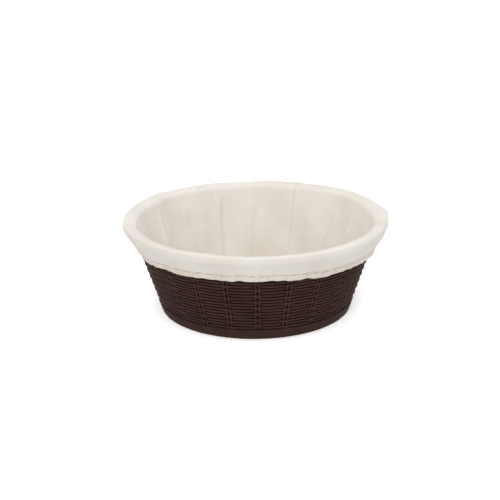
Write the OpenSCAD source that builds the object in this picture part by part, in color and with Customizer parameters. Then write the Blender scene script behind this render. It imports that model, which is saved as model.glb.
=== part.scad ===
// Round woven bread basket with a lift-out cloth liner.
//
// The basket is a leaning wall of level woven hoops on upright hairpin stakes. A smooth foot
// band and a flat board close the bottom, a wide hoop caps the top, and a thin dark sleeve
// backs the weave. The liner is a cloth cup whose elasticated cuff turns over the hoop.
//
// The basket stands on Z = 0 with its axis on Z, and its front faces -Y. Lengths are in mm.
// Radial depths in the wall are measured level, not square to its lean.

/* [Basket shape] */
// Outer diameter of the foot where the basket stands
foot_d = 181.8; // [120:0.2:260]
// How far the wall leans out for each mm of height
wall_slope = 0.33; // [0:0.01:0.6]
// Depth of the weave, from the backing sleeve to the outermost strand
weave_depth = 4.1; // [4:0.1:8]
// Level thickness of the backing sleeve
sleeve_t = 1.6; // [1:0.1:3]

/* [Foot and board] */
// Height of the smooth foot band
foot_h = 10; // [8:0.5:20]
// Inner radius of the flat ring that the basket stands on
stand_r = 82.5; // [50:0.5:120]
// Thickness of the ledge that carries the board
ledge_t = 2.1; // [1.5:0.1:4]
// Thickness of the base board
board_t = 2.5; // [1.5:0.1:5]
// Height at which the sleeve stands on its step in the foot band
sleeve_z = 7; // [5:0.5:9]

/* [Weave] */
// Number of upright hairpin stakes (even, so that each woven row closes)
stakes = 24; // [12:2:40]
// Turn of the first stake from the front, in degrees
stake_turn = 0.7; // [-7.5:0.1:7.5]
// Diameter of the stake rod
rod_d = 1.8; // [1.2:0.1:3]
// Distance between the two legs of a stake
leg_gap = 3.4; // [2.5:0.1:8]
// Number of woven rows
rows = 21; // [6:1:30]
// Height of the middle of the lowest row
first_row_z = 11.8; // [10:0.05:30]
// Height from one row to the next
row_pitch = 3.17; // [2:0.01:6]
// Height of a weaver strand
strand_h = 2.1; // [1.5:0.1:5]
// Level thickness of a weaver strand
strand_t = 1; // [0.8:0.05:3]
// Half the length of the flat stretch where a strand passes a stake
pass_half = 3.1; // [3:0.1:6]
// Length beside it in which the strand comes back to its usual depth
pass_run = 2; // [2:0.1:6]

/* [Rim hoop] */
// Height of the underside of the rim hoop
rim_bottom_z = 77; // [40:0.5:150]
// Height of the top of the rim hoop
rim_top_z = 87.6; // [45:0.2:160]
// Outer radius of the rim hoop
rim_r = 124; // [80:0.5:180]
// Height where the side of the hoop starts to slant in
rim_side_z = 82.7; // [60:0.1:150]
// How far the top of the hoop tips in towards the basket, in degrees
rim_tip = 17; // [0:1:30]
// Rounding of the outer top corner of the hoop
rim_round = 1.5; // [0.5:0.1:3]
// Rounding of the inner top corner of the hoop
rim_in_round = 4; // [0.5:0.1:5]
// Height at which the sleeve ends, under the lip of the hoop
sleeve_top_z = 81; // [60:0.5:150]

/* [Cloth liner] */
// Thickness of the cloth
cloth_t = 0.5; // [0.4:0.05:1.5]
// Clear space between the cloth and the basket
cloth_gap = 0.35; // [0.3:0.05:1]
// Thickness of the doubled cloth floor
floor_t = 1; // [0.8:0.1:3]
// Height where the wall of the liner hands over to its cuff
cuff_start_z = 82.5; // [60:0.1:150]
// Height of the lower edge of the cuff
hem_z = 62.5; // [30:0.5:120]
// How far the outer cloth of the hem stands off the weave, to its middle
hem_stand_off = 1.9; // [1.8:0.1:4]
// Height of the casing that holds the elastic
casing_h = 5.8; // [4:0.1:12]
// Width of the elastic band
elastic_w = 4.5; // [3:0.1:10]
// Thickness of the elastic band
elastic_t = 0.4; // [0.3:0.05:1]
// Thickness of the sewing thread
thread_t = 0.3; // [0.2:0.05:0.6]

/* [Hidden] */
$fn = 96;
fit = 0.08; // level play between pieces that sit in one another
pocket_play = 0.1; // extra diameter of the pockets that take the stakes
wall_lean = atan(wall_slope);
cloth_gap_h = cloth_gap / cos(wall_lean);
cloth_t_h = cloth_t / cos(wall_lean);
rod_depth = weave_depth / 2; // depth of the middle of the rods
inner_pass = 0.55; // depth of a strand's middle where it runs behind a stake
outer_pass = weave_depth - inner_pass; // the same where it runs in front
usual_depth = rod_depth + 0.85; // the same between stakes
board_z = ledge_t + 0.05;
liner_z = board_z + board_t + cloth_gap - 0.05;
casing_r = (elastic_t + 0.1 + cloth_t) / 2; // middle of the cloth where it folds round the elastic
rod_bend_z = 6.6; // height where the legs of a stake meet their bend
rod_hold = 4.6; // how far the legs of a stake reach up into the rim hoop
rod_top_z = rim_bottom_z + rod_hold;

// Radius of the outside of the woven wall, and of the two faces of the sleeve, at height z
function wall_r(z) = foot_d / 2 + wall_slope * z;
function sleeve_out(z) = wall_r(z) - weave_depth;
function sleeve_in(z) = sleeve_out(z) - sleeve_t;

// Radius of the two faces of the liner's wall at height z
function liner_out(z) = sleeve_in(z) - cloth_gap_h;
function liner_in(z) = liner_out(z) - cloth_t_h;

function unit(v) = v / norm(v);
function left_of(v) = [-v[1], v[0]];
function arc(centre, r, from, to, steps) =
    [for (i = [0:steps]) let (a = from + (to - from) * i / steps) centre + r * [cos(a), sin(a)]];

// Point i of an open path, moved d to the left of the way it runs
function moved_point(path, i, d) =
    let (last = len(path) - 1)
    let (ahead = unit(path[min(i + 1, last)] - path[min(i, last - 1)]))
    let (behind = unit(path[max(i, 1)] - path[max(i - 1, 0)]))
    let (across = unit(left_of(ahead) + left_of(behind)))
    path[i] + across * d / (across * left_of(ahead));

// Outline of a sheet of thickness t whose middle follows a path
function sheet_outline(path, t) = concat(
    [for (i = [0:len(path) - 1]) moved_point(path, i, t / 2)],
    [for (i = [len(path) - 1:-1:0]) moved_point(path, i, -t / 2)]
);

// Middles of the two rounded corners on top of the hoop. The inner one lies down the tipped
// top, where its rounding also meets the inside of the wall.
rim_out_corner = [rim_r - rim_round, rim_top_z - rim_round];
rim_along = [cos(rim_tip), sin(rim_tip)];
rim_in_line = rim_out_corner + (rim_round - rim_in_round) * left_of(rim_along);
off_wall = (rim_in_line - [sleeve_in(0), 0]) * [cos(wall_lean), -sin(wall_lean)];
rim_top_w = (off_wall - rim_in_round) / cos(rim_tip + wall_lean);
rim_in_corner = rim_in_line - rim_top_w * rim_along;

// The cuff's straight fall, from the side of the hoop to the hem
cloth_off = cloth_gap + cloth_t / 2;
fall_top = [rim_r + cloth_off, rim_side_z];
fall_end = [wall_r(hem_z) + hem_stand_off, hem_z + cloth_t / 2 + casing_r];
fall_up = unit(fall_top - fall_end);
fall_lean = atan2(fall_up[0], fall_up[1]);
fall_in = left_of(fall_up);
casing_back = fall_end + fall_in * 2 * casing_r;
function on_fall(along, inward) = fall_end + fall_up * along + fall_in * inward;

function pair_name(i) = str("stake_pair_", i < 10 ? "0" : "", i);
function row_name(i) = str("weaver_row_", i < 10 ? "0" : "", i);

weave_brown = [0.23, 0.157, 0.145];
band_brown = [0.27, 0.19, 0.175];
backing_brown = [0.13, 0.085, 0.075];
cloth_white = [0.88, 0.87, 0.84];
thread_white = [0.93, 0.92, 0.9];

// Turns a child from the front to stake i
module at_stake(i) {
    rotate([0, 0, stake_turn + (i - 1) * 360 / stakes])
        children();
}

// Places a child on the middle line of the rods at height z, with its Z along the rods
module on_rod_line(z) {
    translate([0, -sleeve_out(z) - rod_depth, z])
        rotate([wall_lean, 0, 0])
            children();
}

// Smooth moulded band: the standing ring, the ledge for the board, the step for the sleeve,
// and a pocket for the bend of each stake
module foot_band() {
    pocket_d = rod_d + pocket_play;
    pocket_z = rod_bend_z - leg_gap / 2 - rod_d / 2 - 0.6;
    slot_w = pocket_d * 0.94;
    low_edge = 0.8;
    top_edge = 0.5;
    color(band_brown)
        difference() {
            rotate_extrude($fn = 180)
                polygon([
                    [stand_r, 0],
                    [wall_r(0) - low_edge, 0],
                    [wall_r(low_edge), low_edge],
                    [wall_r(foot_h - top_edge), foot_h - top_edge],
                    [wall_r(foot_h) - top_edge, foot_h],
                    [sleeve_out(foot_h) + fit, foot_h],
                    [sleeve_out(sleeve_z) + fit, sleeve_z],
                    [sleeve_in(sleeve_z), sleeve_z],
                    [sleeve_in(ledge_t), ledge_t],
                    [stand_r, ledge_t]
                ]);
            for (i = [1:stakes])
                at_stake(i)
                    on_rod_line(pocket_z) {
                        for (side = [-1, 1])
                            translate([side * leg_gap / 2, 0, 0])
                                cylinder(d = pocket_d, h = foot_h);
                        translate([-leg_gap / 2, -slot_w / 2, 0])
                            cube([leg_gap, slot_w, foot_h]);
                    }
        }
}

// Flat round board that lies on the ledge of the foot band
module base_board() {
    color(backing_brown)
        translate([0, 0, board_z])
            cylinder(r = sleeve_in(ledge_t) - 0.15, h = board_t, $fn = 180);
}

// Thin leaning sleeve behind the weave, from the foot band up into the rim hoop
module backing_sleeve() {
    bottom = sleeve_z + 0.05;
    color(backing_brown)
        rotate_extrude($fn = 180)
            polygon([
                [sleeve_in(bottom), bottom],
                [sleeve_out(bottom), bottom],
                [sleeve_out(sleeve_top_z), sleeve_top_z],
                [sleeve_in(sleeve_top_z), sleeve_top_z]
            ]);
}

// Wide hoop under the turned-over cloth, with a lip over the sleeve and a hole for each rod
module rim_hoop() {
    lip_z = sleeve_top_z + 0.1;
    hole_h = rod_hold + 0.6;
    below = 2;
    slant_in = (rim_side_z - rim_bottom_z) * tan(fall_lean);
    color(band_brown)
        difference() {
            rotate_extrude($fn = 180)
                polygon(concat(
                    [
                        [sleeve_in(lip_z), lip_z],
                        [sleeve_out(lip_z) + fit, lip_z],
                        [sleeve_out(rim_bottom_z) + fit, rim_bottom_z],
                        [rim_r - slant_in, rim_bottom_z],
                        [rim_r, rim_side_z]
                    ],
                    arc(rim_out_corner, rim_round, 0, 90 + rim_tip, 5),
                    arc(rim_in_corner, rim_in_round, 90 + rim_tip, 180 - wall_lean, 5)
                ));
            for (i = [1:stakes])
                at_stake(i)
                    for (side = [-1, 1])
                        translate([side * leg_gap / 2, 0, 0])
                            on_rod_line(rim_bottom_z - below)
                                cylinder(d = rod_d + pocket_play, h = below + hole_h);
        }
}

// Upright hairpin: two legs in the wall, joined by a bend that sits in the foot band
module stake_pair(i) {
    leg_l = (rod_top_z - rod_bend_z) / cos(wall_lean);
    color(weave_brown)
        at_stake(i)
            on_rod_line(rod_bend_z) {
                for (side = [-1, 1])
                    translate([side * leg_gap / 2, 0, 0])
                        cylinder(d = rod_d, h = leg_l, $fn = 24);
                rotate([-90, 0, 0])
                    rotate_extrude(angle = 180, $fn = 24)
                        translate([leg_gap / 2, 0])
                            circle(d = rod_d, $fn = 24);
            }
}

// One woven hoop: a half-round strand that runs in front of every second stake and behind the rest
module weaver_row(row) {
    z = first_row_z + (row - 1) * row_pitch;
    section = [[-1, -1], [1, -0.5], [1, 0.5], [-1, 1]];
    sides = len(section);
    reach = [-pass_half - pass_run, -pass_half, pass_half, pass_half + pass_run];
    rings = len(reach) * stakes;
    flat_turn = asin(pass_half / sleeve_out(z));
    function in_front(s) = (s + row) % 2 == 0;
    points = [
        for (s = [0:stakes - 1], place = [0:len(reach) - 1])
            let (a = stake_turn + s * 360 / stakes + asin(reach[place] / sleeve_out(z)))
            let (passing = place == 1 || place == 2)
            let (depth = !passing ? usual_depth : in_front(s) ? outer_pass : inner_pass)
            for (corner = section)
                let (up = corner[1] * strand_h / 2)
                let (r = (sleeve_out(z + up) + depth + corner[0] * strand_t / 2) / cos(flat_turn))
                [r * sin(a), -r * cos(a), z + up]
    ];
    faces = [
        for (ring = [0:rings - 1])
            let (near = ring * sides)
            let (far = ((ring + 1) % rings) * sides)
            for (k = [0:sides - 1])
                let (next = (k + 1) % sides)
                for (face = [[near + k, near + next, far + next], [near + k, far + next, far + k]])
                    face
    ];
    color(weave_brown)
        polyhedron(points, faces, convexity = 10);
}

// Leaning cloth wall of the liner, close inside the sleeve
module liner_wall() {
    top = cuff_start_z - 0.15;
    color(cloth_white)
        rotate_extrude($fn = 180)
            polygon([
                [liner_in(liner_z), liner_z],
                [liner_out(liner_z), liner_z],
                [liner_out(top), top],
                [liner_in(top), top]
            ]);
}

// Doubled round cloth floor of the liner
module liner_base() {
    color(cloth_white)
        translate([0, 0, liner_z])
            cylinder(r = liner_in(liner_z) - 0.05, h = floor_t, $fn = 180);
}

// Cloth that turns over the hoop and falls to the hem, where it folds back as a casing
module liner_cuff() {
    start = [liner_out(cuff_start_z) - cloth_t_h / 2, cuff_start_z];
    closed = cloth_t + 0.1;
    path = concat(
        [start],
        arc(rim_in_corner, rim_in_round + cloth_off, 180 - wall_lean, 90 + rim_tip, 5),
        arc(rim_out_corner, rim_round + cloth_off, 90 + rim_tip, 0, 5),
        [fall_top, fall_end],
        arc(fall_end + fall_in * casing_r, casing_r, -fall_lean - 30, -fall_lean - 180, 5),
        [on_fall(casing_h - 1, 2 * casing_r), on_fall(casing_h, closed), on_fall(casing_h + 1.5, closed)]
    );
    color(cloth_white)
        rotate_extrude($fn = 180)
            polygon(sheet_outline(path, cloth_t));
}

// Flat elastic band inside the casing
module hem_elastic() {
    color(thread_white)
        rotate_extrude($fn = 180)
            polygon(sheet_outline([on_fall(0.1, casing_r), on_fall(0.1 + elastic_w, casing_r)], elastic_t));
}

// Ring of thread along the row of stitches that closes the casing
module hem_stitching() {
    out = -cloth_t / 2 - thread_t / 2 - 0.06;
    stitch_at = casing_h + 0.7;
    color(thread_white)
        rotate_extrude($fn = 180)
            polygon(sheet_outline([on_fall(stitch_at - 0.3, out), on_fall(stitch_at + 0.3, out)], thread_t));
}

// Ring of thread along the seam between the floor and the wall of the liner
module base_stitching() {
    z = liner_z + floor_t + 0.02;
    r = liner_in(liner_z) - 0.4;
    color(thread_white)
        rotate_extrude($fn = 180)
            translate([r - thread_t, z])
                square([2 * thread_t, thread_t]);
}

foot_band();
base_board();
backing_sleeve();
rim_hoop();
for (i = [1:stakes])
    stake_pair(i);
for (i = [1:rows])
    weaver_row(i);
liner_wall();
liner_base();
liner_cuff();
hem_elastic();
hem_stitching();
base_stitching();
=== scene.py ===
"""The looks of a round woven bread basket with a turned-over cloth liner, built on its CAD frame.

Everything is in metres in the frame's own space: Z up, the front of the basket towards -Y.
Angles called "turn" run from the front towards +X. A profile is the (radius, height) path of
something that goes round the basket's axis.
"""

import math

import bpy
import numpy as np
from mathutils import Matrix, Vector


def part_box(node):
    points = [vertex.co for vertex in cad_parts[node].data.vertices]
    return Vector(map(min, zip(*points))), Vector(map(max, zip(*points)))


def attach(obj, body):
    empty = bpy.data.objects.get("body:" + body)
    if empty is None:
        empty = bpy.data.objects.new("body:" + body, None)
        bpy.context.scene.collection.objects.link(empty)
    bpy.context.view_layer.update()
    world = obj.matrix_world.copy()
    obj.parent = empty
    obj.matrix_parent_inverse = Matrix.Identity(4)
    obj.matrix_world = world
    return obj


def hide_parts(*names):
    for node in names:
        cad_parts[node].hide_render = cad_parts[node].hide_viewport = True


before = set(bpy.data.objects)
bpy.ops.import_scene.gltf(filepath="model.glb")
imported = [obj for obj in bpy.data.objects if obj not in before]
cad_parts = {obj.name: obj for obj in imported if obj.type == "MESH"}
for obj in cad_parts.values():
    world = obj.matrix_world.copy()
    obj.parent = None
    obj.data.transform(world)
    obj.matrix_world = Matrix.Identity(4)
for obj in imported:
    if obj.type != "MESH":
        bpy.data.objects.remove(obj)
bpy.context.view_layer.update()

MM = 0.001
TAU = 2 * math.pi

# ------------------------------------------------------------------ sizes read from the frame

row_names = sorted(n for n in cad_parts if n.startswith("weaver_row_"))
stake_names = sorted(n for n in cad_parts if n.startswith("stake_pair_"))
STAKES = len(stake_names)
STAKE_STEP = TAU / STAKES

# the even rows run in front of the stakes at the left and right, so their boxes reach the wall's face
first_lo, first_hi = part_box(row_names[1])
last_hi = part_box(row_names[-2])[1]
WALL_SLOPE = (last_hi[0] - first_hi[0]) / (last_hi[2] - first_hi[2])
WALL_LEAN = math.atan(WALL_SLOPE)

stake_lo, stake_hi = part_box(stake_names[0])
STAKE_TURN = math.atan2(stake_lo[0] + stake_hi[0], -(stake_lo[1] + stake_hi[1]))

hoop_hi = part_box("rim_hoop")[1]
liner_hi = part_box("liner_wall")[1]
cuff_lo, cuff_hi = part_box("liner_cuff")
floor_lo, floor_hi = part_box("liner_base")
FLOOR_R = floor_hi[0]
FLOOR_T = floor_hi[2] - floor_lo[2]

# ------------------------------------------------------------------ sizes of the looks

CREST_RISE = 0.5 * MM  # of a strand's outermost point above its middle, as the wall leans out
WEAVE_DEPTH = 4.1 * MM  # from the sleeve to the outermost strand
PASS_DEPTH = 0.55 * MM  # middle of a strand, from the sleeve behind a stake or from the front before one
USUAL_DEPTH = 2.9 * MM  # middle of a strand between stakes, from the sleeve
STRAND_T = 1 * MM
STRAND_STRAY = 0.08 * MM  # how far it wanders from its level
STRAND_UNEVEN = 0.05  # share of its thickness that comes and goes along it
STEPS_PER_STAKE = 20  # points along a strand
PRESS = 0.2  # share of its thickness that a strand loses where it is pressed over a stake
HOLD = 2.3 * MM  # half the flat stretch where a strand passes a stake
CROSSING = 2 * MM  # beside it, the stretch in which the strand comes back to its usual depth

CLOTH_T = 0.5 * MM
CLOTH_LIFT = 0.02 * MM  # between the wall's lower edge and the floor that it lies on
FLANGE_W = 2.5 * MM  # that edge, sewn flat on the floor
FOOT_ROUND = 1.8 * MM  # rounding between that edge and the wall
WALL_SLACK = 0.4 * MM  # how far the cloth hangs off the wall between its folds
RIM_ROUND = 1.5 * MM  # rounding of the hoop's outer top corner
RIM_IN_ROUND = 4 * MM  # rounding of its inner top corner
RIM_TIP = math.radians(17)  # how far the hoop's top tips in
RIM_SIDE_Z = 82.7 * MM  # where the cuff starts to slant in
RIM_REACH = 14 * MM  # how far the rim's wrinkles reach down the wall
BAG = 0.5 * MM  # how far the cuff swells out between the rim and the hem
HEM_STAND_OFF = 1.9 * MM  # from the weave to the hem
HEM_WAVE, HEM_RIPPLE = 0.5 * MM, 0.25 * MM  # how far its level wanders, in broad and in fine waves
GATHER_OUT, GATHER_IN = 0.34 * MM, 0.25 * MM  # how far the elastic's gathers stand out, and draw in at most
PINCH_UP, PINCH_W = 0.7 * MM, math.radians(2)  # where the hem is pinched up: how high, and half how wide
CASING_R = 0.5 * MM  # middle of the cloth where it folds round the elastic
CASING_H = 5.8 * MM
CASING_STEP = 1 * MM  # the length in which its inner side comes up to the cuff
CASING_TAIL = 1.5 * MM  # the raw edge above it, flat on the cuff
CASING_OUT = 0.35 * MM  # how far the elastic pushes the cuff out
STITCH_H = 6.5 * MM  # up the cuff's fall from its fold
STITCH_IN = 0.6 * MM  # how far the stitches draw the cuff in
ELASTIC_T = 0.4 * MM
ELASTIC_LOW, ELASTIC_HIGH = 0.3 * MM, 4.4 * MM  # its edges, up the cuff's fall
SEAM_TURN = math.radians(158)  # the liner's one upright seam
SEAM_W = 5 * MM
SEAM_OUT = 0.4 * MM  # how far its doubled cloth stands out
SEAM_EDGE = 0.9 * MM  # the width in which that rises at each side
CORNER_TURN = math.radians(95)  # a stiff corner that the cloth makes on the rim
CORNER_OUT = 1.9 * MM  # how far it stands out

# Where the cloth's edges leave their circles: (turn in degrees, half width in degrees, mm).
# The hem hangs loose at the right and is pulled up tight at the left.
HEM_RISE = ((77, 14, -5.3), (101, 19, -2.6), (53, 28, -2.2), (31, 6, -2.3), (-54, 9, -1.3), (-80, 10, 3.4))
HEM_SPREAD = ((78, 13, 0.6), (-80, 16, -0.5))
RIM_RISE = ((127, 15, 1.7), (-129, 12, 1.1))
# Where the cuff bulges or is drawn in: the same three, then mm up the fall and half height in mm.
CUFF_BULGES = ((88, 14, 2.2, 14, 5), (85, 14, -1.8, 8, 4), (-85, 14, -1.0, 9, 5))


def wall_r(z):
    """Radius of the outermost face of the weave at height z."""
    crest_z = (first_lo[2] + first_hi[2]) / 2 + CREST_RISE
    return first_hi[0] + WALL_SLOPE * (z - crest_z)


def smooth(start, end, x):
    """0 before start, 1 after end, and an even curve between them. End may be below start."""
    t = np.clip((x - start) / (end - start), 0, 1)
    return t * t * (3 - 2 * t)


def wander(turn, seed, low, high, count=9):
    """A closed wavy line round the basket, about -1 to 1, of waves between low and high per turn."""
    rng = np.random.default_rng(seed)
    waves = rng.integers(low, high + 1, count)
    phases = rng.uniform(0, TAU, count)
    return sum(np.sin(w * turn + p) for w, p in zip(waves, phases)) / math.sqrt(count)


def turned(a, b):
    """Shortest signed angle from b to a."""
    return (a - b + math.pi) % TAU - math.pi


def bell(x, width):
    """1 at 0, falling smoothly to about a third at width on both sides."""
    return np.exp(-((x / width) ** 2))


def swell(turn, place, width, size):
    """One swell round the basket, at place and width in degrees and size in mm."""
    return size * MM * bell(turned(turn, math.radians(place)), math.radians(width))


def swells(places, turn):
    """The sum of several swells round the basket."""
    return sum(swell(turn, *place) for place in places)


def xyz(radius, turn, z):
    """Points from arrays of radius, turn and height, with the three coordinates last."""
    radius, turn, z = np.broadcast_arrays(radius, turn, z)
    return np.stack([radius * np.sin(turn), -radius * np.cos(turn), z], axis=-1)


# ------------------------------------------------------------------ meshes


def new_object(name, verts, faces, made, uvs=None):
    """A smooth mesh of one material, with UVs by vertex if they are given."""
    mesh = bpy.data.meshes.new(name)
    mesh.from_pydata(np.asarray(verts).reshape(-1, 3).tolist(), [], faces)
    if uvs is not None:
        layer = mesh.uv_layers.new(name="UVMap")
        flat = [c for face in faces for v in face for c in uvs[v]]
        layer.data.foreach_set("uv", flat)
    mesh.polygons.foreach_set("use_smooth", [True] * len(mesh.polygons))
    mesh.materials.append(made)
    mesh.validate()
    mesh.update()
    obj = bpy.data.objects.new(name, mesh)
    bpy.context.scene.collection.objects.link(obj)
    return obj


def grid_faces(rows, cols, close_rows=False, first=0):
    """Quads of a grid of points that is closed along its columns, and perhaps along its rows."""
    faces = []
    for i in range(rows if close_rows else rows - 1):
        below, above = first + i * cols, first + (i + 1) % rows * cols
        for j in range(cols):
            k = (j + 1) % cols
            faces.append((below + j, below + k, above + k, above + j))
    return faces


# ------------------------------------------------------------------ materials


def material(name, roughness, **sockets):
    """A new material, with its node tree, its shader and a function that adds and joins nodes."""
    made = bpy.data.materials.new(name)
    made.use_nodes = True
    tree = made.node_tree
    shader = tree.nodes["Principled BSDF"]
    shader.inputs["Roughness"].default_value = roughness
    for socket, value in sockets.items():
        shader.inputs[socket.replace("_", " ")].default_value = value

    def add(kind, settings=None, **inputs):
        node = tree.nodes.new(kind)
        for key, value in (settings or {}).items():
            setattr(node, key, value)
        for key, value in inputs.items():
            by_place = key[0] == "i" and key[1:].isdigit()
            socket = node.inputs[int(key[1:]) if by_place else key.replace("_", " ")]
            if isinstance(value, bpy.types.NodeSocket):
                tree.links.new(value, socket)
            else:
                socket.default_value = value
        return node

    return made, tree, shader, add


def two_tone(add, source, low, high, dark, light):
    """A colour that goes from dark to light as source goes from low to high."""
    ramp = add("ShaderNodeValToRGB", Fac=source)
    ramp.color_ramp.elements[0].position = low
    ramp.color_ramp.elements[0].color = (*dark, 1)
    ramp.color_ramp.elements[1].position = high
    ramp.color_ramp.elements[1].color = (*light, 1)
    return ramp.outputs["Color"]


def plastic(name, tones, roughness, grain):
    """Satin plastic: patchy brown, with a fine grain that is grain metres deep."""
    made, tree, shader, add = material(name, roughness, Specular_IOR_Level=0.03)
    place = add("ShaderNodeTexCoord").outputs["Object"]
    patch = add("ShaderNodeTexNoise", Vector=place, Scale=55.0, Detail=4.0, Roughness=0.6)
    patchy = patch.outputs["Fac"]
    tree.links.new(two_tone(add, patchy, 0.3, 0.7, *tones), shader.inputs["Base Color"])
    gloss = add("ShaderNodeMapRange", Value=patchy, To_Min=roughness - 0.07, To_Max=roughness + 0.07)
    tree.links.new(gloss.outputs["Result"], shader.inputs["Roughness"])
    grains = add("ShaderNodeTexNoise", Vector=place, Scale=720.0, Detail=3.0)
    bump = add("ShaderNodeBump", Height=grains.outputs["Fac"], Strength=1.0, Distance=grain)
    tree.links.new(bump.outputs["Normal"], shader.inputs["Normal"])
    return made


def painted_seam_shade(add, colour, up, seam):
    """Paints shade on the cloth: darker and warmer where it is doubled past a seam, as two layers let less
    light through, and darker by the mesh's own crease values, painted shade in its creases and along its
    stitches.
    """
    shade_blend = {"data_type": "RGBA", "blend_type": "MULTIPLY"}
    # painted shade: the doubled cloth past the seam is made darker and warmer, as two layers let less light
    # through
    doubled = add("ShaderNodeMapRange", Value=up, From_Min=seam - 0.5 * MM, From_Max=seam + 0.5 * MM)
    doubled_shade = add("ShaderNodeMix", shade_blend, i0=doubled.outputs[0], i6=colour, i7=(0.975, 0.95, 0.915, 1))
    # painted shade in the creases and along the stitch line, from the mesh's own values
    crease = add("ShaderNodeAttribute", {"attribute_name": "crease"}).outputs["Fac"]
    dark = add("ShaderNodeMix", shade_blend, i0=crease, i6=doubled_shade.outputs[2], i7=(0.62, 0.57, 0.49, 1))
    return dark.outputs[2]


def cloth(name, tones, thread, depth, seam=None):
    """Plain-woven cotton: soft patches of tone, a weave of that thread pitch from the UVs, and painted
    shade with a seam.

    Depth is the depth of the weave. Seam is how far along the cloth its line of stitches lies: past
    it the cloth is doubled.
    """
    made, tree, shader, add = material(name, 0.92, Sheen_Weight=0.15, Sheen_Roughness=0.5)
    shader.inputs["Specular IOR Level"].default_value = 0.2
    place = add("ShaderNodeTexCoord")
    patch = add("ShaderNodeTexNoise", Vector=place.outputs["Object"], Scale=28.0, Detail=5.0)
    colour = two_tone(add, patch.outputs["Fac"], 0.35, 0.7, *tones)
    uv = add("ShaderNodeSeparateXYZ", Vector=place.outputs["UV"])
    # painted shade: darker past the hem's seam and in the creases
    if seam:
        colour = painted_seam_shade(add, colour, uv.outputs["Y"], seam)
    tree.links.new(colour, shader.inputs["Base Color"])
    ridge = []
    for side in ("X", "Y"):
        across = add("ShaderNodeMath", {"operation": "MULTIPLY"}, i0=uv.outputs[side], i1=math.pi / thread)
        ridge.append(add("ShaderNodeMath", {"operation": "SINE"}, i0=across.outputs[0]).outputs[0])
    check = add("ShaderNodeMath", {"operation": "MULTIPLY"}, i0=ridge[0], i1=ridge[1])
    slub = add("ShaderNodeTexNoise", Vector=place.outputs["Object"], Scale=900.0, Detail=2.0)
    mixed = {"operation": "MULTIPLY_ADD"}
    relief = add("ShaderNodeMath", mixed, i0=check.outputs[0], i1=0.5, i2=slub.outputs["Fac"])
    bump = add("ShaderNodeBump", Height=relief.outputs[0], Strength=1.0, Distance=depth)
    tree.links.new(bump.outputs["Normal"], shader.inputs["Normal"])
    return made


# the dark and the light tone of each material, in linear colour
WEAVE_BROWNS = (0.0445, 0.0220, 0.0178), (0.0620, 0.0327, 0.0277)
# painted light: the stakes are the strands' plastic, made lighter so that the recessed rods look lit
STAKE_LIT_BROWNS = (0.0527, 0.0250, 0.0203), (0.0702, 0.0357, 0.0295)
BAND_BROWNS = (0.0370, 0.0186, 0.0152), (0.0470, 0.0255, 0.0214)
# the backing is darker and redder than the strands' plastic: partly its own colour and partly painted shade
# for the gaps between the strands, where it shows
BACKING_BROWN_AND_SHADE = (0.0180, 0.0066, 0.0050), (0.0265, 0.0110, 0.0082)
KNIT_WHITES = (0.74, 0.72, 0.68), (0.82, 0.80, 0.77)
# the thread's beige, darker than the cloth, is partly its own colour and partly painted shade for the
# stitch line's groove
THREAD_BEIGE_AND_SHADE = (0.42, 0.37, 0.29), (0.54, 0.48, 0.39)
COTTON_WHITES = (0.71, 0.665, 0.60), (0.79, 0.755, 0.705)

weave_plastic = plastic("weave_plastic", WEAVE_BROWNS, 0.55, 0.04 * MM)
# the stakes' plastic, with painted light in its lighter browns
stake_plastic_lit = plastic("stake_plastic_lit", STAKE_LIT_BROWNS, 0.55, 0.04 * MM)
band_plastic = plastic("band_plastic", BAND_BROWNS, 0.6, 0.03 * MM)
backing_plastic = plastic("backing_plastic", BACKING_BROWN_AND_SHADE, 0.6, 0.05 * MM)
elastic_knit = cloth("elastic_knit", KNIT_WHITES, 0.9 * MM, 0.12 * MM)
sewing_thread_and_shade = cloth("sewing_thread_and_shade", THREAD_BEIGE_AND_SHADE, 0.2 * MM, 0.03 * MM)


def repaint(node, made):
    """Gives a CAD piece that stays visible its new material."""
    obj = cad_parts[node]
    obj.data.materials.clear()
    obj.data.materials.append(made)


for name in stake_names:
    repaint(name, stake_plastic_lit)
for name in ("foot_band", "rim_hoop"):
    repaint(name, band_plastic)
for name in ("base_board", "backing_sleeve"):
    repaint(name, backing_plastic)

# ------------------------------------------------------------------ woven strands


def strand_section(height):
    """Half-round section of a strand, flat at the back, as (out, up) offsets from its middle."""
    shoulder = -0.22  # where the round face starts, in thicknesses from the middle
    flat = 0.6  # the flat back's share of the height
    a = np.radians(np.linspace(-90, 90, 11))
    out = np.concatenate([shoulder + (0.5 - shoulder) * np.cos(a), [-0.5, -0.5]]) * STRAND_T
    up = np.concatenate([np.sin(a), [flat, -flat]]) * height / 2
    return out, up


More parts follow.
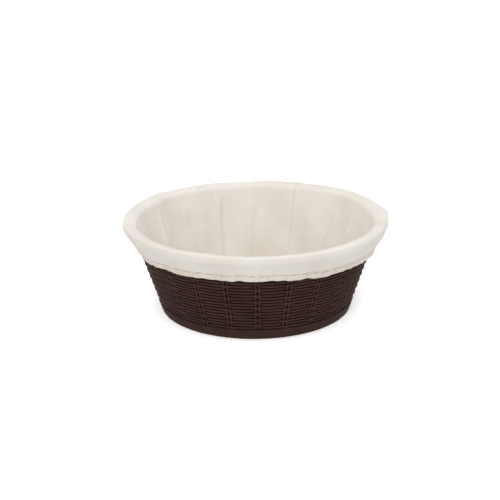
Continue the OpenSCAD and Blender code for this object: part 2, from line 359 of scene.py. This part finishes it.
def woven_strand(row, name):
    """A closed strand that runs in front of every second stake and behind the others."""
    lo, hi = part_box(name)
    z = (lo[2] + hi[2]) / 2
    steps = STEPS_PER_STAKE * STAKES
    turn = np.arange(steps) * TAU / steps
    stake = np.floor(turn / STAKE_STEP + 1e-9).astype(int)
    part = turn / STAKE_STEP - stake
    along = np.minimum(part, 1 - part) * wall_r(z) * STAKE_STEP
    nearest = np.where(part < 0.5, stake, stake + 1)
    side = np.where((nearest + row) % 2 == 0, 1, -1)
    pressed = smooth(HOLD + CROSSING, HOLD, along)
    passing = np.where(side > 0, WEAVE_DEPTH - PASS_DEPTH - PRESS * STRAND_T / 2, PASS_DEPTH)
    depth = USUAL_DEPTH + (passing - USUAL_DEPTH) * pressed
    out, up = strand_section(hi[2] - lo[2])
    stray = STRAND_STRAY * wander(turn, 100 + row, 5, 30)
    thick = (1 + STRAND_UNEVEN * wander(turn, 200 + row, 3, 40)) * (1 - PRESS * pressed * (side > 0))
    heights = z + stray[:, None] + up[None, :]
    middle = wall_r(heights) - WEAVE_DEPTH + depth[:, None]
    points = xyz(middle + out[None, :] * thick[:, None], (turn + STAKE_TURN)[:, None], heights)
    faces = [f[::-1] for f in grid_faces(steps, len(out), close_rows=True)]
    strand = new_object(f"strand_{row:02d}", points, faces, weave_plastic)
    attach(strand, "basket")
    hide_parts(name)


for row, name in enumerate(row_names, start=1):
    woven_strand(row, name)

# ------------------------------------------------------------------ cloth liner


def liner_r(z):
    """Radius of the middle of the liner's wall at height z."""
    return liner_hi[0] - CLOTH_T / 2 / math.cos(WALL_LEAN) + WALL_SLOPE * (z - liner_hi[2])


def arc(centre, radius, start, end, count):
    """Points on an arc, from one angle to another in degrees."""
    a = np.radians(np.linspace(start, end, count))
    return centre + radius * np.stack([np.cos(a), np.sin(a)], axis=-1)


# The cloth's path goes out along the edge of the floor, up the inside of the wall, over the hoop,
# down to the hem, and back up inside itself as the casing.
cloth_off = cuff_hi[0] - hoop_hi[0] - CLOTH_T / 2
outer_r = RIM_ROUND + cloth_off
inner_r = RIM_IN_ROUND + cloth_off
into_wall = np.array([math.cos(WALL_LEAN), -math.sin(WALL_LEAN)])
foot_z = floor_hi[2] + CLOTH_T / 2 + CLOTH_LIFT
foot_r = liner_r(foot_z + FOOT_ROUND) - FOOT_ROUND / math.cos(WALL_LEAN)
foot_centre = np.array([foot_r, foot_z + FOOT_ROUND])
wall_z = (foot_centre + FOOT_ROUND * into_wall)[1]
rim_along = np.array([math.cos(RIM_TIP), math.sin(RIM_TIP)])
rim_up = np.array([-math.sin(RIM_TIP), math.cos(RIM_TIP)])
outer_corner = np.array([hoop_hi[0] - RIM_ROUND, hoop_hi[2] - RIM_ROUND])

# the inner corner's arc touches both the cloth's top face and the line of its wall
inner_line = outer_corner + (outer_r - inner_r) * rim_up
off_wall = (inner_line - (liner_r(0), 0)) @ into_wall
inner_corner = inner_line - rim_along * (off_wall - inner_r) / math.cos(RIM_TIP + WALL_LEAN)
meet_z = (inner_corner - inner_r * into_wall)[1]
top_angle = 90 + math.degrees(RIM_TIP)

fall_top = np.array([cuff_hi[0] - CLOTH_T / 2, RIM_SIDE_Z])
fall_end = np.array([wall_r(cuff_lo[2]) + HEM_STAND_OFF, cuff_lo[2] + CLOTH_T / 2 + CASING_R])
fall_up = (fall_top - fall_end) / np.linalg.norm(fall_top - fall_end)
fall_in = np.array([-fall_up[1], fall_up[0]])
fall_lean = math.degrees(math.atan2(fall_up[0], fall_up[1]))


def on_fall(up, inward):
    """A point up the cuff's fall from its fold, and in from it."""
    return fall_end + fall_up * up + fall_in * inward


TAIL_IN = CLOTH_T + 0.1 * MM  # of the raw edge, from the cuff
line = np.linspace
stretches = [
    line((foot_r - FLANGE_W, foot_z), (foot_r, foot_z), 5),
    arc(foot_centre, FOOT_ROUND, -90, -math.degrees(WALL_LEAN), 8),
    line((liner_r(wall_z), wall_z), (liner_r(meet_z), meet_z), 60),
    arc(inner_corner, inner_r, 180 - math.degrees(WALL_LEAN), top_angle, 10),
    line(inner_corner + inner_r * rim_up, outer_corner + outer_r * rim_up, 12),
    arc(outer_corner, outer_r, top_angle, 0, 9),
    line(outer_corner + (outer_r, 0), fall_top, 5),
    line(fall_top, fall_end, 36),
    arc(fall_end + fall_in * CASING_R, CASING_R, -fall_lean, -fall_lean - 180, 9),
    line(on_fall(0, 2 * CASING_R), on_fall(CASING_H - CASING_STEP, 2 * CASING_R), 10),
    line(on_fall(CASING_H, TAIL_IN), on_fall(CASING_H + CASING_TAIL, TAIL_IN), 5),
]
# each stretch but the last leaves out its end, where the next one starts
stretches = [s[:-1] for s in stretches[:-1]] + stretches[-1:]
profile = np.concatenate(stretches)

# where the wall starts and ends, and where the side of the rim, the cuff's fall and its fold start
starts = np.cumsum([0] + [len(s) for s in stretches])
FOOT, WALL, RIM, FALL, FOLD = starts[2], starts[3], starts[6], starts[7], starts[8]

# at each point: which way the cloth's face looks, the length of cloth so far, and the height up the
# fall, where "outer" marks the cuff's outer layer
ahead = np.gradient(profile, axis=0)
ahead /= np.linalg.norm(ahead, axis=1)[:, None]
facing = np.stack([-ahead[:, 1], ahead[:, 0]], axis=-1)
travel = np.concatenate([[0], np.cumsum(np.linalg.norm(np.diff(profile, axis=0), axis=1))])
index = np.arange(len(profile))
outer = (index >= FALL) & (index <= FOLD)
up_fall = (profile - fall_end) @ fall_up
past_stitch = up_fall - STITCH_H

COLUMNS = 900
turn = np.arange(COLUMNS) * TAU / COLUMNS


def wall_folds():
    """How far the slack cloth stands off the wall, up the wall and round it."""
    rng = np.random.default_rng(11)
    up = ((travel - travel[FOOT]) / (travel[WALL] - travel[FOOT]))[:, None]
    total = WALL_SLACK * (1 + wander(turn, 21, 3, 9))[None, :] * smooth(0, 0.3, up) * smooth(1, 0.8, up)
    folds = 19
    for k in range(folds):
        centre = (k + rng.uniform(-0.35, 0.35)) * TAU / folds
        width = math.radians(rng.uniform(1.5, 3.2))
        height = rng.uniform(1.2, 3.4) * MM
        low, high = rng.uniform(-0.1, 0.25), rng.uniform(0.85, 1.1)
        slant = math.radians(rng.uniform(-6, 6))
        away = turned(turn[None, :], centre + slant * (up - 0.5)) / (width * (0.7 + 0.6 * (1 - up)))
        # a crest with a shallow valley beside it
        across = bell(away, 1) - 0.35 * bell(away - 1.7, 1)
        total = total + height * across * smooth(low, low + 0.3, up) * smooth(high, high - 0.3, up)
    return np.maximum(total, 0) * smooth(0, 0.12, up) * (index <= WALL)[:, None]


def cuff_shift(rest_z):
    """How far out and up the slack and the gathers move both layers of the cuff, at each turn."""
    z = np.asarray(rest_z)[:, None]
    stitch_z = on_fall(STITCH_H, 0)[1]
    down = smooth(RIM_SIDE_Z, cuff_lo[2], z)

    # small gathers of the elastic, and wider swells between them
    gather = smooth(stitch_z + 7 * MM, stitch_z, z)
    ripple = 0.6 * wander(turn, 51, 45, 90) + 0.4 * wander(turn, 52, 110, 170)
    out = gather * np.maximum(GATHER_OUT * ripple, -GATHER_IN)[None, :]
    bag = smooth(RIM_SIDE_Z, RIM_SIDE_Z - 8 * MM, z)
    bag = bag * smooth(cuff_lo[2] - 2 * MM, cuff_lo[2] + 12 * MM, z)
    out = out + bag * (BAG * np.maximum(wander(turn, 53, 4, 13) + 0.5, 0))[None, :]

    # the hem's level wanders, is pinched up in places, and follows its slow rises and falls
    level = HEM_WAVE * wander(turn, 54, 7, 19) + HEM_RIPPLE * wander(turn, 55, 40, 75)
    pinches = 16
    for centre in np.random.default_rng(56).uniform(0, TAU, pinches):
        level = level + PINCH_UP * bell(turned(turn, centre), PINCH_W)
    level = level + swells(HEM_RISE, turn)
    out = out + down * (WALL_SLOPE * level + swells(HEM_SPREAD, turn))[None, :]

    up = (z - fall_end[1]) / fall_up[1]
    for place, width, size, middle, reach in CUFF_BULGES:
        out = out + bell(up - middle * MM, reach * MM) * swell(turn, place, width, size)
    return out, down * level[None, :]


def rim_wrinkles():
    """Soft wrinkles across the rim, where the elastic pulls the cloth over the hoop."""
    near = smooth(travel[WALL] - RIM_REACH, travel[WALL], travel)
    near = near * smooth(travel[FALL] + 8 * MM, travel[FALL], travel)
    fine, broad = 0.1 * MM, 0.3 * MM
    wrinkle = fine * wander(turn, 31, 30, 70) + broad * (1 + wander(turn, 32, 4, 11))
    return near[:, None] * wrinkle[None, :]


def casing():
    """How far out the casing stands, and the painted shade along its line of stitches, from 0 to 1."""
    puff_middle, puff_half, line_half = 3 * MM, 2.2 * MM, 0.9 * MM
    over_elastic = np.where(outer, bell(up_fall - puff_middle, puff_half), 0)[:, None]
    in_line = np.where(outer, bell(past_stitch, line_half), 0)[:, None]
    out = CASING_OUT * over_elastic * (1 + 0.3 * wander(turn, 42, 60, 120))[None, :]
    out = out - STITCH_IN * in_line * (1 + 0.5 * wander(turn, 41, 90, 170))[None, :]
    # painted shade along the line of stitches, whose groove would lie in shade
    crease = in_line * np.clip(0.5 + 0.4 * wander(turn, 45, 30, 90), 0.15, 1)[None, :]
    return out, crease


def pulled_creases():
    """Slanting creases where the thread pulls at the cloth: their sum, and the deepest, in mm, which also
    sets the painted shade in them.
    """
    rng = np.random.default_rng(43)
    creases = 100
    total = deepest = 0
    for _ in range(creases):
        centre, slant = rng.uniform(0, TAU), rng.uniform(-1.1, 1.1)
        depth = rng.uniform(0.3, 0.8)
        middle = rng.uniform(-3, 0.8) * MM
        length = rng.uniform(1.4, 2.8) * MM
        across = turned(turn, centre)[None, :] * profile[:, 0][:, None] - slant * past_stitch[:, None]
        along = np.where(outer, bell(past_stitch - middle, length), 0)[:, None]
        pull = depth * along * bell(across, 0.8 * MM)
        total = total + pull
        # the deepest pull also sets the painted shade in these creases
        deepest = np.maximum(deepest, pull)
    return total, deepest


def seam_ridge():
    """The upright seam, where the ends of the strip overlap."""
    across = np.abs(turned(turn, SEAM_TURN)) * profile[:, 0][:, None]
    return SEAM_OUT * smooth(SEAM_W / 2 + SEAM_EDGE, SEAM_W / 2, across) * (index <= FOLD)[:, None]


def stiff_corner():
    """How far out one stiff corner of the cloth stands on the rim, straight behind and slack in front."""
    straight, slack, half_height = math.radians(11), math.radians(10.5), 6 * MM
    past = turned(turn, CORNER_TURN)
    behind = np.maximum(1 - past / straight, 0)
    before = np.exp(np.minimum(past, 0) / slack)
    peak = np.where(past > 0, behind, before)
    return CORNER_OUT * peak[None, :] * bell(travel - travel[RIM], half_height)[:, None]


def rim_rise():
    """How far the back of the rim stands proud of the hoop, at both sides."""
    on_top = smooth(travel[WALL] - RIM_REACH, travel[WALL], travel)
    on_top = on_top * smooth(travel[FALL], travel[RIM] - 3 * MM, travel)
    return on_top[:, None] * swells(RIM_RISE, turn)[None, :]


def liner_surface():
    """Radius and height of the cloth's middle, and the painted shade of its creases, for each point of the
    profile and each turn.
    """
    casing_out, line_shade = casing()
    pulled, deepest = pulled_creases()
    out = wall_folds() + rim_wrinkles() + casing_out - pulled * MM + seam_ridge()
    radius = profile[:, 0][:, None] + facing[:, 0][:, None] * out
    z = profile[:, 1][:, None] + facing[:, 1][:, None] * out
    shift_out, shift_up = cuff_shift(profile[:, 1])
    cuff = (index >= RIM)[:, None]
    radius += cuff * shift_out + stiff_corner()
    z += cuff * shift_up + rim_rise()
    return radius, z, np.maximum(line_shade, deepest)


radius, height, crease = liner_surface()

UV_R = 105 * MM  # where the UVs of a round sheet have their true size


def sheet_uvs(rows, cols, rise, width):
    """Per-corner UVs in metres of a grid that closes round its columns."""
    step = width / cols
    uvs = []
    for i in range(rows - 1):
        low, high = rise[i], rise[i + 1]
        for j in range(cols):
            left, right = j * step, (j + 1) * step
            uvs += [left, high, right, high, right, low, left, low]
    return uvs


def thicken(obj, thickness):
    """Gives a sheet its thickness, half on each side."""
    solid = obj.modifiers.new("thickness", "SOLIDIFY")
    solid.thickness = thickness
    solid.offset = 0


def round_sheet(name, radius, height, rise, thickness, made):
    """A sheet of cloth round the axis, from grids of radius and height. Rise is its length so far."""
    faces = [f[::-1] for f in grid_faces(len(radius), COLUMNS)]
    sheet = new_object(name, xyz(radius, turn[None, :], height), faces, made)
    layer = sheet.data.uv_layers.new(name="UVMap")
    layer.data.foreach_set("uv", sheet_uvs(len(radius), COLUMNS, rise, TAU * UV_R))
    thicken(sheet, thickness)
    return sheet


hem_seam = float(travel[FOLD]) - STITCH_H
liner_cotton_and_shade = cloth("liner_cotton_and_shade", COTTON_WHITES, 0.55 * MM, 0.05 * MM, hem_seam)
liner = round_sheet("liner_cloth", radius, height, travel, CLOTH_T, liner_cotton_and_shade)
# the painted shade of the creases and the stitch line, which the liner's material reads
liner.data.attributes.new("crease", "FLOAT", "POINT").data.foreach_set("value", crease.ravel())

# ------------------------------------------------------------------ elastic in the hem

band_up = np.linspace(ELASTIC_LOW, ELASTIC_HIGH, 7)
band = np.array([on_fall(up, CASING_R) for up in band_up])
band_out, band_rise = cuff_shift(band[:, 1])
band_r = band[:, 0][:, None] + band_out
band_z = band[:, 1][:, None] + band_rise
elastic = round_sheet("elastic_band", band_r, band_z, band_up, ELASTIC_T, elastic_knit)
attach(elastic, "liner")
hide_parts("hem_elastic")

# ------------------------------------------------------------------ liner floor

FLOOR_COLUMNS = 360
floor_turn = np.arange(FLOOR_COLUMNS) * TAU / FLOOR_COLUMNS

# its rings lie closer together near the edge
inner_rings = np.linspace(0.5 * MM, 72 * MM, 30)
outer_rings = np.linspace(74 * MM, FLOOR_R - 0.1 * MM, 16)
floor_r = np.concatenate([inner_rings, outer_rings])[:, None]

# it puckers towards its edge, lies flat under the wall's flange, and swells a little further in
pucker = 0.35 * MM * smooth(55 * MM, FLOOR_R, floor_r) * (1 + wander(floor_turn, 61, 20, 60))[None, :]
pucker = pucker * smooth(FLOOR_R - 4 * MM, FLOOR_R - 10 * MM, floor_r)
billow = 0.3 * MM * (1 + wander(floor_turn, 62, 2, 5))[None, :]
billow = billow * smooth(0, 40 * MM, floor_r) * smooth(84 * MM, 60 * MM, floor_r)
middle_z = floor_lo[2] + FLOOR_T / 2
rings = xyz(floor_r, floor_turn[None, :], middle_z + pucker + billow).reshape(-1, 3)
points = np.concatenate([[[0, 0, middle_z]], rings])

faces = [f[::-1] for f in grid_faces(len(floor_r), FLOOR_COLUMNS, first=1)]
faces += [(0, 1 + j, 1 + (j + 1) % FLOOR_COLUMNS) for j in range(FLOOR_COLUMNS)]
liner_floor = new_object("liner_floor", points, faces, liner_cotton_and_shade, uvs=points[:, :2])
thicken(liner_floor, FLOOR_T - 0.1 * MM)

# ------------------------------------------------------------------ stitches


PROUD = 0.06 * MM  # how far the middle of a stitch stands off the cloth
HEM_COUNT, BASE_COUNT, SEAM_COUNT = 236, 180, 38  # stitches in each row
HEM_DUTY, BASE_DUTY, SEAM_DUTY = 0.74, 0.75, 0.72  # share of its path that each stitch covers
HEM_THREAD_R, SEAM_THREAD_R = 0.22 * MM, 0.2 * MM


def stitches(name, lanes, outs, duty, thread_r):
    """A row of stitches. Lanes has the points along the path under each, and outs which way is out."""
    sides = 8
    count, rings = lanes.shape[:2]
    u = np.linspace(-1, 1, rings)
    a = np.arange(sides) * TAU / sides
    middle = lanes.mean(axis=1, keepdims=True)
    lanes = middle + (lanes - middle) * duty
    ahead = np.gradient(lanes, axis=1)
    ahead /= np.linalg.norm(ahead, axis=2, keepdims=True)
    across = np.cross(ahead, outs)
    # its ends dip into the cloth, and it is thinner there
    lift = (PROUD - (thread_r + PROUD) * np.abs(u) ** 3)[None, :, None, None]
    thick = (thread_r * (1 - 0.35 * u**2))[None, :, None, None]
    up = lift + thick * np.cos(a)[None, None, :, None]
    side = thick * np.sin(a)[None, None, :, None]
    points = lanes[:, :, None] + outs[:, :, None] * up + across[:, :, None] * side
    faces = []
    for k in range(count):
        first = k * rings * sides
        faces += grid_faces(rings, sides, first=first)
        faces.append(tuple(first + j for j in range(sides))[::-1])
        faces.append(tuple(first + (rings - 1) * sides + j for j in range(sides)))
    row = new_object(name, points, faces, sewing_thread_and_shade)
    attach(row, "liner")
    return row


def on_cloth(row):
    """A function of turn that gives the points on the face of the liner along one row of its grid."""
    out_r, out_z = facing[row]
    closed_turn = np.append(turn, TAU)
    closed_r = np.append(radius[row], radius[row][0]) + CLOTH_T / 2 * out_r
    closed_z = np.append(height[row], height[row][0]) + CLOTH_T / 2 * out_z

    def read(t):
        t = np.mod(t, TAU)
        return xyz(np.interp(t, closed_turn, closed_r), t, np.interp(t, closed_turn, closed_z))

    return read


def round_turns(count, rings=7):
    """Turns of the points along each of count equal stitches round the basket."""
    u = np.linspace(-0.5, 0.5, rings)
    return (np.arange(count)[:, None] + u[None, :]) * TAU / count


stitch_row = FALL + int(np.argmin(np.abs(past_stitch[FALL:FOLD])))
hem_turns = round_turns(HEM_COUNT)
hem_lanes = on_cloth(stitch_row)(hem_turns)
hem_outs = xyz(facing[stitch_row][0], hem_turns, facing[stitch_row][1])
hem_stitches = stitches("hem_stitches", hem_lanes, hem_outs, HEM_DUTY, HEM_THREAD_R)
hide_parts("hem_stitching")

flange_row = 2  # along the middle of the flange
base_turns = round_turns(BASE_COUNT)
base_lanes = on_cloth(flange_row)(base_turns)
base_outs = xyz(0, base_turns, 1)
base_stitches = stitches("base_stitches", base_lanes, base_outs, BASE_DUTY, SEAM_THREAD_R)
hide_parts("base_stitching")

# the upright seam's own stitches run from the wall's foot, over the rim, to the hem's stitches
seam_column = int(round(SEAM_TURN / TAU * COLUMNS))
seam_path = xyz(radius[:, seam_column], turn[seam_column], height[:, seam_column])
seam_faces = xyz(facing[:, 0], turn[seam_column], facing[:, 1])
seam_path = seam_path + seam_faces * CLOTH_T / 2
steps = 6
reach = np.linspace(travel[FOOT], travel[stitch_row - 1], SEAM_COUNT * steps + 1)
along = np.stack([np.interp(reach, travel, seam_path[:, k]) for k in range(3)], axis=-1)
outs_along = np.stack([np.interp(reach, travel, seam_faces[:, k]) for k in range(3)], axis=-1)
pick = np.arange(SEAM_COUNT)[:, None] * steps + np.arange(steps + 1)[None, :]
seam_stitches = stitches("seam_stitches", along[pick], outs_along[pick], SEAM_DUTY, SEAM_THREAD_R)

# ------------------------------------------------------------------ the liner as sheets

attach(liner, "liner")
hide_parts("liner_wall", "liner_cuff")
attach(liner_floor, "liner")
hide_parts("liner_base")

# ------------------------------------------------------------------ floor, light and camera

scene = bpy.context.scene
scene.view_settings.view_transform = "Standard"

# a floor so pale that it is overexposed to white, but for the basket's shadow
STUDIO_HALF = 6.0
ground = material("studio_white", 0.9, Base_Color=(1.9, 1.9, 1.9, 1))[0]
corners = [(x * STUDIO_HALF, y * STUDIO_HALF, 0) for x, y in ((-1, -1), (1, -1), (1, 1), (-1, 1))]
table = new_object("studio_floor", corners, [(0, 1, 2, 3)], ground)
table.visible_diffuse = False  # so that it throws no light up at the basket: the world does that

# round its edge, a white wall that only the camera sees
glow = material("studio_glow", 1, Emission_Color=(1, 1, 1, 1), Emission_Strength=1)[0]
corners += [(x, y, STUDIO_HALF) for x, y, _ in corners]
wall_faces = [(0, 1, 5, 4), (1, 2, 6, 5), (2, 3, 7, 6), (3, 0, 4, 7)]
backdrop = new_object("studio_backdrop", corners, wall_faces, glow)
for rays in ("diffuse", "glossy", "transmission", "volume_scatter", "shadow"):
    setattr(backdrop, f"visible_{rays}", False)

world = bpy.data.worlds.new("studio")
world.use_nodes = True
background = world.node_tree.nodes["Background"]
background.inputs["Color"].default_value = (1, 1, 1, 1)
background.inputs["Strength"].default_value = 0.85
scene.world = world


def soft_light(name, place, size, power):
    """A round lamp that shines at the middle of the basket."""
    data = bpy.data.lights.new(name, "AREA")
    data.shape = "DISK"
    data.size = size
    data.energy = power
    lamp = bpy.data.objects.new(name, data)
    lamp.location = place
    aim = Vector((0, 0, 50 * MM)) - Vector(place)
    lamp.rotation_euler = aim.to_track_quat("-Z", "Y").to_euler()
    scene.collection.objects.link(lamp)


soft_light("overhead", place=(0, -0.2, 1.6), size=1.6, power=6)
soft_light("front", place=(-0.2, -1.6, 0.9), size=1, power=6)

# the camera is 1 m from the middle of the basket
CAMERA_RISE = math.radians(19.3)
CAMERA_ROLL = math.radians(-0.61)
camera_data = bpy.data.cameras.new("camera")
camera_data.sensor_width = 36
camera_data.lens = 74.98
camera_data.shift_x = -0.0112
camera_data.shift_y = 0.0162
camera = bpy.data.objects.new("camera", camera_data)
aim_at = Vector((0, 0, 45 * MM))
back = Vector((0, -math.cos(CAMERA_RISE), math.sin(CAMERA_RISE)))
camera.matrix_world = (
    Matrix.Translation(aim_at + back)
    @ back.to_track_quat("Z", "Y").to_matrix().to_4x4()
    @ Matrix.Rotation(CAMERA_ROLL, 4, "Z")
)
scene.collection.objects.link(camera)
scene.camera = camera
